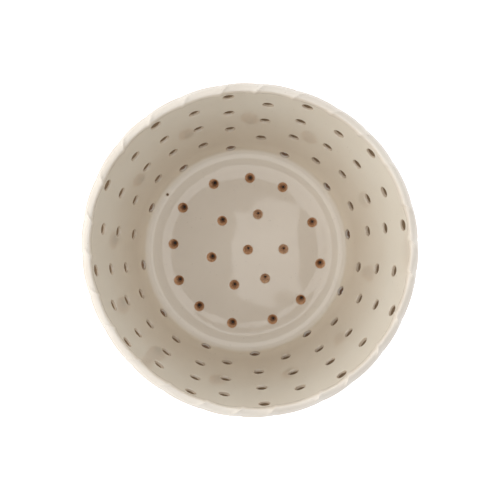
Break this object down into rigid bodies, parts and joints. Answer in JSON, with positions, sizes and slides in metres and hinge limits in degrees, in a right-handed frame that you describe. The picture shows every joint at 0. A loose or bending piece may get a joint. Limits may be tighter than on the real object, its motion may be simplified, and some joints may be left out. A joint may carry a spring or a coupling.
{
  "type": "colander bowl",
  "caption": "Round glazed stoneware draining bowl with a pierced floor and wall, a thumb-pressed wavy rim and a low foot ring, for rinsing, draining and serving food.",
  "frame": {"origin": "under the middle of the bowl, on the plane that the foot ring stands on", "axes": "+Z up along the bowl's axis, +X to the right and +Y up as the picture shows the bowl from above"},
  "size_m": [0.2418, 0.2418, 0.1248],
  "materials": {
    "greige_glaze": "gloss",
    "cream_glaze": "gloss",
    "bare_stoneware": "matte"
  },
  "bodies": {
    "root": {"floor_disc": "greige_glaze", "side_wall": "greige_glaze", "rim_coil": "cream_glaze", "foot_ring": "bare_stoneware"}
  },
  "joints": []
}
